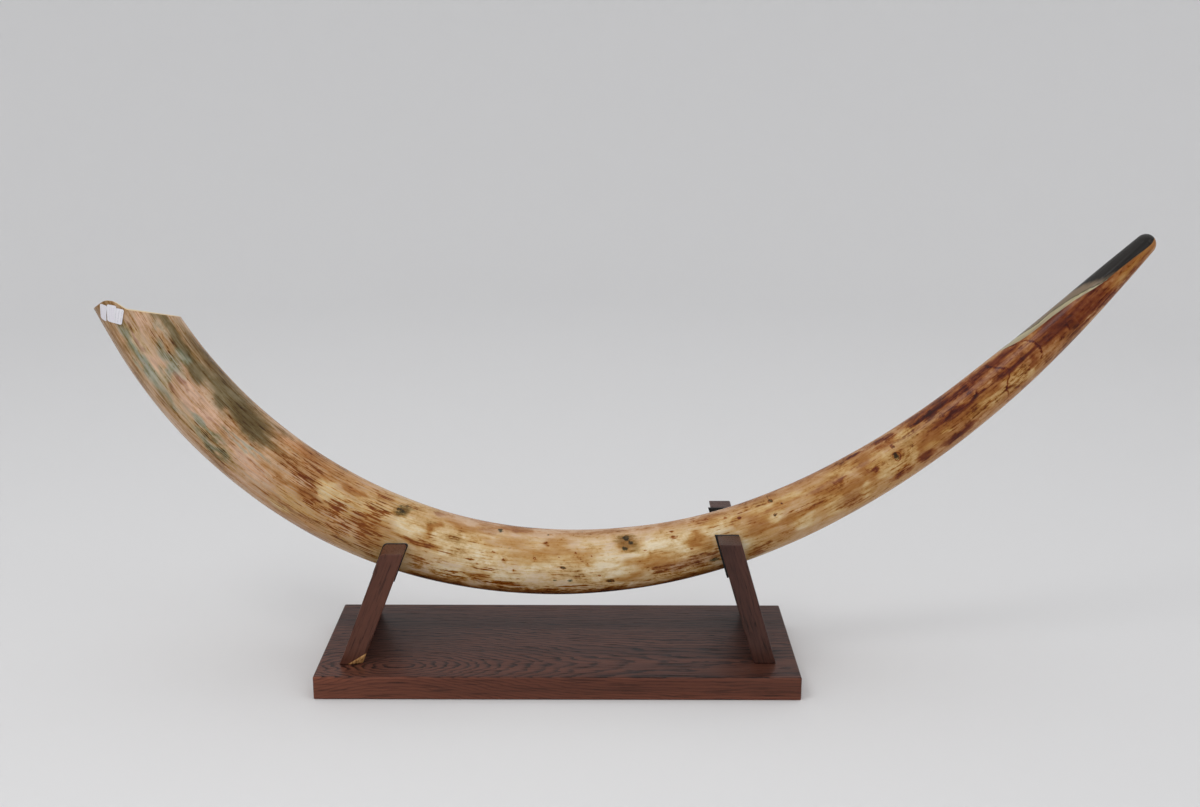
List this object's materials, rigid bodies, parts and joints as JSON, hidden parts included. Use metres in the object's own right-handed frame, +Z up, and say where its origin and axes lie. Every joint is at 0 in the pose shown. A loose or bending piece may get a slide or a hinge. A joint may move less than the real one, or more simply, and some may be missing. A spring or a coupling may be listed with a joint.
{
  "type": "mammoth tusk on a wooden stand",
  "caption": "Long curved polished mammoth tusk, sawn off at the root, lying in the felt-lined notches of leaning boards on a rectangular wooden base plate.",
  "frame": {"origin": "centre of the base plate's underside, on the surface that the stand stands on", "axes": "+X along the base plate towards the tusk's tip, +Z up, -Y towards the side that carries the paper labels"},
  "size_m": [1.0792, 0.2, 0.4702],
  "materials": {
    "tusk": "polished fossil ivory and bark: cream, golden and mahogany brown with grey-green bands near the root and a charcoal worn flat at the tip",
    "walnut_base": "dark brown stained wood, satin lacquer, open cathedral grain",
    "walnut_support": "dark brown stained wood, satin lacquer",
    "felt": "matt black felt strip",
    "label_printed": "small paper label with faint violet ruled lines",
    "label_white": "small blank white paper label"
  },
  "bodies": {
    "root": {"tusk": "tusk", "base_plate": "walnut_base", "support_left": "walnut_support", "support_right": "walnut_support", "felt_left": "felt", "felt_right": "felt", "label_left": "label_printed", "label_middle": "label_printed", "label_right": "label_white"}
  },
  "joints": []
}
